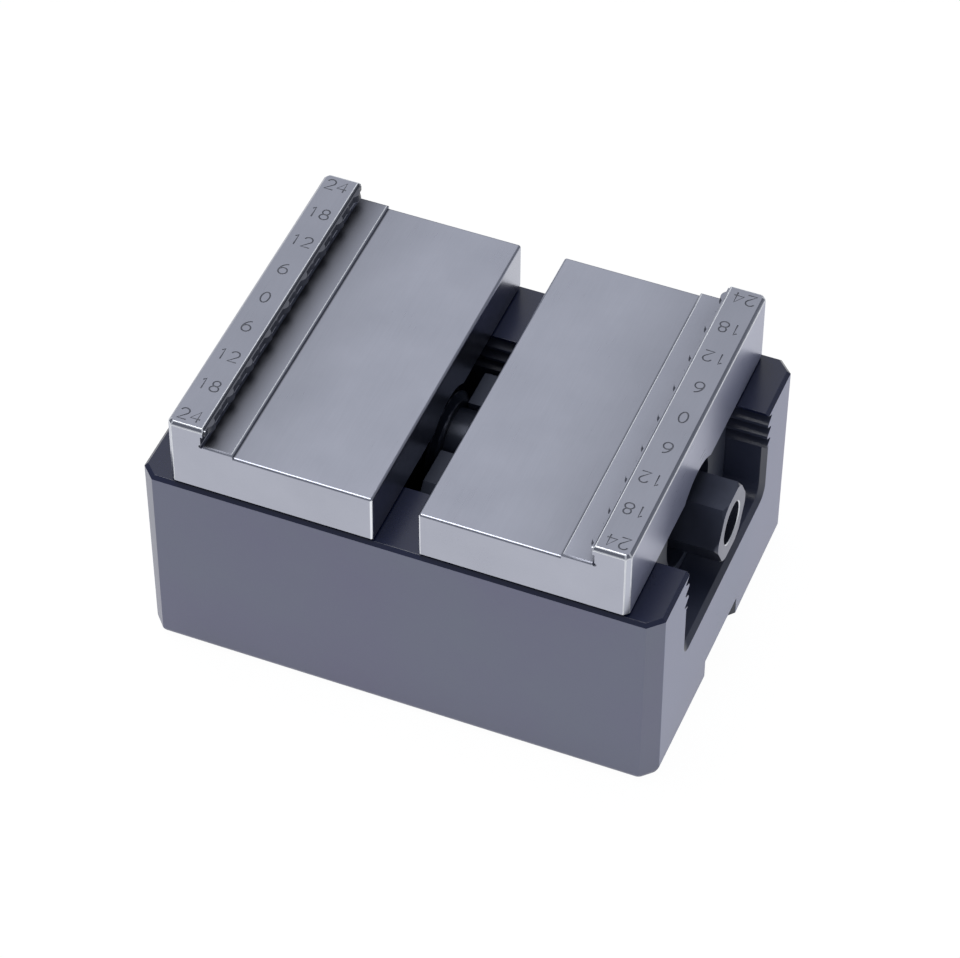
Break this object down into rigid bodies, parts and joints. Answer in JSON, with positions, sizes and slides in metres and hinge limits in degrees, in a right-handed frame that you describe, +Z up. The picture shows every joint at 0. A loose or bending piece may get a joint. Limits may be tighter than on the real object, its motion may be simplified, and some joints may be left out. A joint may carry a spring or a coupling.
{
  "type": "self-centering vise",
  "caption": "Compact self-centering vise with toothed stepped jaws on ribbed carriages, drawn together by a left- and right-hand spindle.",
  "frame": {"origin": "centre of the underside, halfway between the two ends and in the middle of the width", "axes": "+X along the spindle, +Y across towards the rear wall, along the jaws, +Z up"},
  "size_m": [0.075, 0.053, 0.0429],
  "materials": {
    "body_steel": "hard-coated dark slate grey, fine satin",
    "jaw_steel": "hardened and ground, satin on top and polished on the outer faces",
    "carriage_steel": "blackened and oiled",
    "spindle_steel": "blackened, with bright ground ends",
    "fork_steel": "blackened tool steel",
    "screw_steel": "black oxide",
    "pin_steel": "ground bright"
  },
  "bodies": {
    "base": {"body": "body_steel", "centre_fork": "fork_steel", "fork_screw_1": "screw_steel", "fork_screw_2": "screw_steel", "fork_screw_3": "screw_steel", "fork_screw_4": "screw_steel", "fork_dowel_1": "pin_steel", "fork_dowel_2": "pin_steel"},
    "spindle": {"spindle": "spindle_steel"},
    "left_jaw_unit": {"left_jaw": "jaw_steel", "left_carriage": "carriage_steel", "left_jaw_screw_1": "screw_steel", "left_jaw_screw_2": "screw_steel", "left_jaw_screw_3": "screw_steel", "left_jaw_screw_4": "screw_steel", "left_jaw_dowel_1": "pin_steel", "left_jaw_dowel_2": "pin_steel"},
    "right_jaw_unit": {"right_jaw": "jaw_steel", "right_carriage": "carriage_steel", "right_jaw_screw_1": "screw_steel", "right_jaw_screw_2": "screw_steel", "right_jaw_screw_3": "screw_steel", "right_jaw_screw_4": "screw_steel", "right_jaw_dowel_1": "pin_steel", "right_jaw_dowel_2": "pin_steel"}
  },
  "joints": [
    {"name": "spindle_turn", "type": "hinge", "parent": "base", "child": "spindle", "pos_m": [0, 0, 0.0258], "axis": [1, 0, 0], "range_deg": [-540, 828]},
    {"name": "left_jaw_slide", "type": "slide", "parent": "base", "child": "left_jaw_unit", "axis": [-1, 0, 0], "range_m": [-0.003, 0.0046]},
    {"name": "right_jaw_slide", "type": "slide", "parent": "base", "child": "right_jaw_unit", "axis": [1, 0, 0], "range_m": [-0.003, 0.0046]}
  ],
  "couplings": [
    {"joint": "spindle_turn", "follows": "left_jaw_slide", "rad_per_m": 3141.6},
    {"joint": "right_jaw_slide", "follows": "left_jaw_slide", "ratio": 1}
  ]
}
